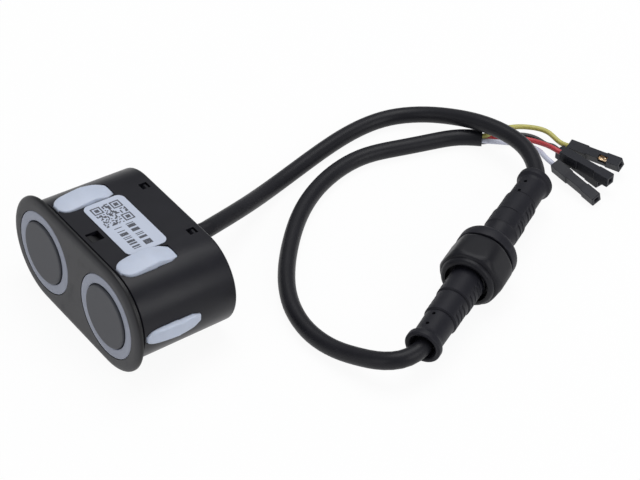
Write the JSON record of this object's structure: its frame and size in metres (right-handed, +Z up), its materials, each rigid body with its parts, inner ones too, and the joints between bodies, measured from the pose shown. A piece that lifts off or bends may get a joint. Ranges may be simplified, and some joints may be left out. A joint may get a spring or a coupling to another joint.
{
  "type": "ultrasonic distance sensor",
  "caption": "Ultrasonic distance sensor: a racetrack head with two sealed transducers, grip pads, a cable with a screw-coupled connector, and a lead ending in single crimp housings.",
  "frame": {"origin": "on the surface the sensor lies on, under the middle of the head (without its cable)", "axes": "+X along the head's long side, to the right of someone who looks at the transducer faces; +Y from the front to the back; +Z up. The head is tilted nose-up by 4.40 degrees, because it lies on its flange and its lower grip pads."},
  "size_m": [0.0826, 0.1298, 0.0253],
  "materials": {
    "front_bezel": "fine satin",
    "housing": "semi-gloss",
    "rear_cover": "semi-gloss",
    "cable_grommet": "matte",
    "label": "satin film",
    "circuit_board": "solder mask",
    "controller_chip": "matte",
    "amplifier_chip": "matte",
    "pulse_transformer": "tape",
    "board_capacitor": "satin",
    "transducer_can_left": "dark anodised, fine matte",
    "silicone_sleeve_left": "satin silicone",
    "piezo_disc_left": "matte ceramic",
    "damping_plug_left": "felt",
    "grip_pad_top_left": "satin silicone",
    "grip_pad_bottom_left": "satin silicone",
    "grip_pad_side_left": "satin silicone",
    "transducer_can_right": "dark anodised, fine matte",
    "silicone_sleeve_right": "satin silicone",
    "piezo_disc_right": "matte ceramic",
    "damping_plug_right": "felt",
    "grip_pad_top_right": "satin silicone",
    "grip_pad_bottom_right": "satin silicone",
    "grip_pad_side_right": "satin silicone",
    "sensor_cable": "satin jacket",
    "socket_body": "satin overmould",
    "socket_insert": "semi-gloss",
    "socket_contact_1": "gold plated",
    "socket_contact_2": "gold plated",
    "socket_contact_3": "gold plated",
    "socket_contact_4": "gold plated",
    "plug_body": "satin overmould",
    "plug_insert": "semi-gloss",
    "plug_pin_1": "gold plated",
    "plug_pin_2": "gold plated",
    "plug_pin_3": "gold plated",
    "plug_pin_4": "gold plated",
    "seal_ring": "satin silicone",
    "coupling_nut": "semi-gloss",
    "lead_cable": "satin jacket",
    "yellow_wire": "satin insulation",
    "yellow_crimp_housing": "satin",
    "yellow_crimp_terminal": "gold plated",
    "black_wire": "satin insulation",
    "black_crimp_housing": "satin",
    "black_crimp_terminal": "gold plated",
    "red_wire": "satin insulation",
    "red_crimp_housing": "satin",
    "red_crimp_terminal": "gold plated",
    "white_wire": "satin insulation",
    "white_crimp_housing": "satin",
    "white_crimp_terminal": "gold plated"
  },
  "bodies": {
    "sensor": {"front_bezel": "front_bezel", "housing": "housing", "rear_cover": "rear_cover", "cable_grommet": "cable_grommet", "label": "label", "circuit_board": "circuit_board", "controller_chip": "controller_chip", "amplifier_chip": "amplifier_chip", "pulse_transformer": "pulse_transformer", "board_capacitor": "board_capacitor", "transducer_can_left": "transducer_can_left", "silicone_sleeve_left": "silicone_sleeve_left", "piezo_disc_left": "piezo_disc_left", "damping_plug_left": "damping_plug_left", "grip_pad_top_left": "grip_pad_top_left", "grip_pad_bottom_left": "grip_pad_bottom_left", "grip_pad_side_left": "grip_pad_side_left", "transducer_can_right": "transducer_can_right", "silicone_sleeve_right": "silicone_sleeve_right", "piezo_disc_right": "piezo_disc_right", "damping_plug_right": "damping_plug_right", "grip_pad_top_right": "grip_pad_top_right", "grip_pad_bottom_right": "grip_pad_bottom_right", "grip_pad_side_right": "grip_pad_side_right", "sensor_cable": "sensor_cable", "socket_body": "socket_body", "socket_insert": "socket_insert", "socket_contact_1": "socket_contact_1", "socket_contact_2": "socket_contact_2", "socket_contact_3": "socket_contact_3", "socket_contact_4": "socket_contact_4"},
    "plug_half": {"plug_body": "plug_body", "plug_insert": "plug_insert", "plug_pin_1": "plug_pin_1", "plug_pin_2": "plug_pin_2", "plug_pin_3": "plug_pin_3", "plug_pin_4": "plug_pin_4", "seal_ring": "seal_ring", "lead_cable": "lead_cable", "yellow_wire": "yellow_wire", "yellow_crimp_housing": "yellow_crimp_housing", "yellow_crimp_terminal": "yellow_crimp_terminal", "black_wire": "black_wire", "black_crimp_housing": "black_crimp_housing", "black_crimp_terminal": "black_crimp_terminal", "red_wire": "red_wire", "red_crimp_housing": "red_crimp_housing", "red_crimp_terminal": "red_crimp_terminal", "white_wire": "white_wire", "white_crimp_housing": "white_crimp_housing", "white_crimp_terminal": "white_crimp_terminal"},
    "nut": {"coupling_nut": "coupling_nut"}
  },
  "joints": [
    {"name": "plug_pull", "type": "slide", "parent": "sensor", "child": "plug_half", "axis": [0.4355, -0.9002, 0], "range_m": [0, 0.0045]},
    {"name": "nut_spin", "type": "hinge", "parent": "plug_half", "child": "nut", "pos_m": [0.04194, 0.06262, 0.00685], "axis": [0.4355, -0.9002, 0], "range_deg": [0, 1080]}
  ],
  "couplings": [
    {"joint": "nut_spin", "follows": "plug_pull", "rad_per_m": 4188.8}
  ]
}
